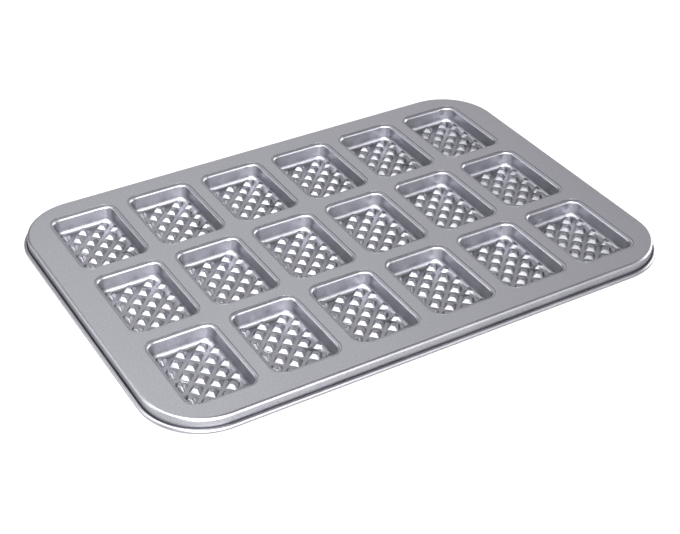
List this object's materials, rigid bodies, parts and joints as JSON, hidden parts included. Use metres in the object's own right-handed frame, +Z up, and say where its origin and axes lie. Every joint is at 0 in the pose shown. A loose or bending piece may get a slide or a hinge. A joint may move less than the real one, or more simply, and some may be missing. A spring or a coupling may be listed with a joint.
{
  "type": "mini waffle baking tray",
  "caption": "Rectangular sheet-steel baking tray with a rolled wired rim and shallow rectangular cups whose floors carry raised diamond bumps for moulding small waffles.",
  "frame": {"origin": "middle of the tray, on the surface that the undersides of the cup floors stand on", "axes": "+X along the tray's length, +Y across it towards the back row of cups, +Z up out of the cups"},
  "size_m": [0.385, 0.264, 0.0144],
  "materials": {
    "coated_steel": "satin silver-grey non-stick coat with a fine grain",
    "rim_wire": "plain drawn steel wire, closed in by the rim"
  },
  "bodies": {
    "root": {"deck_frame": "coated_steel", "rim_wire": "rim_wire", "cup_front_1": "coated_steel", "cup_front_2": "coated_steel", "cup_front_3": "coated_steel", "cup_front_4": "coated_steel", "cup_front_5": "coated_steel", "cup_front_6": "coated_steel", "cup_middle_1": "coated_steel", "cup_middle_2": "coated_steel", "cup_middle_3": "coated_steel", "cup_middle_4": "coated_steel", "cup_middle_5": "coated_steel", "cup_middle_6": "coated_steel", "cup_back_1": "coated_steel", "cup_back_2": "coated_steel", "cup_back_3": "coated_steel", "cup_back_4": "coated_steel", "cup_back_5": "coated_steel", "cup_back_6": "coated_steel"}
  },
  "joints": []
}
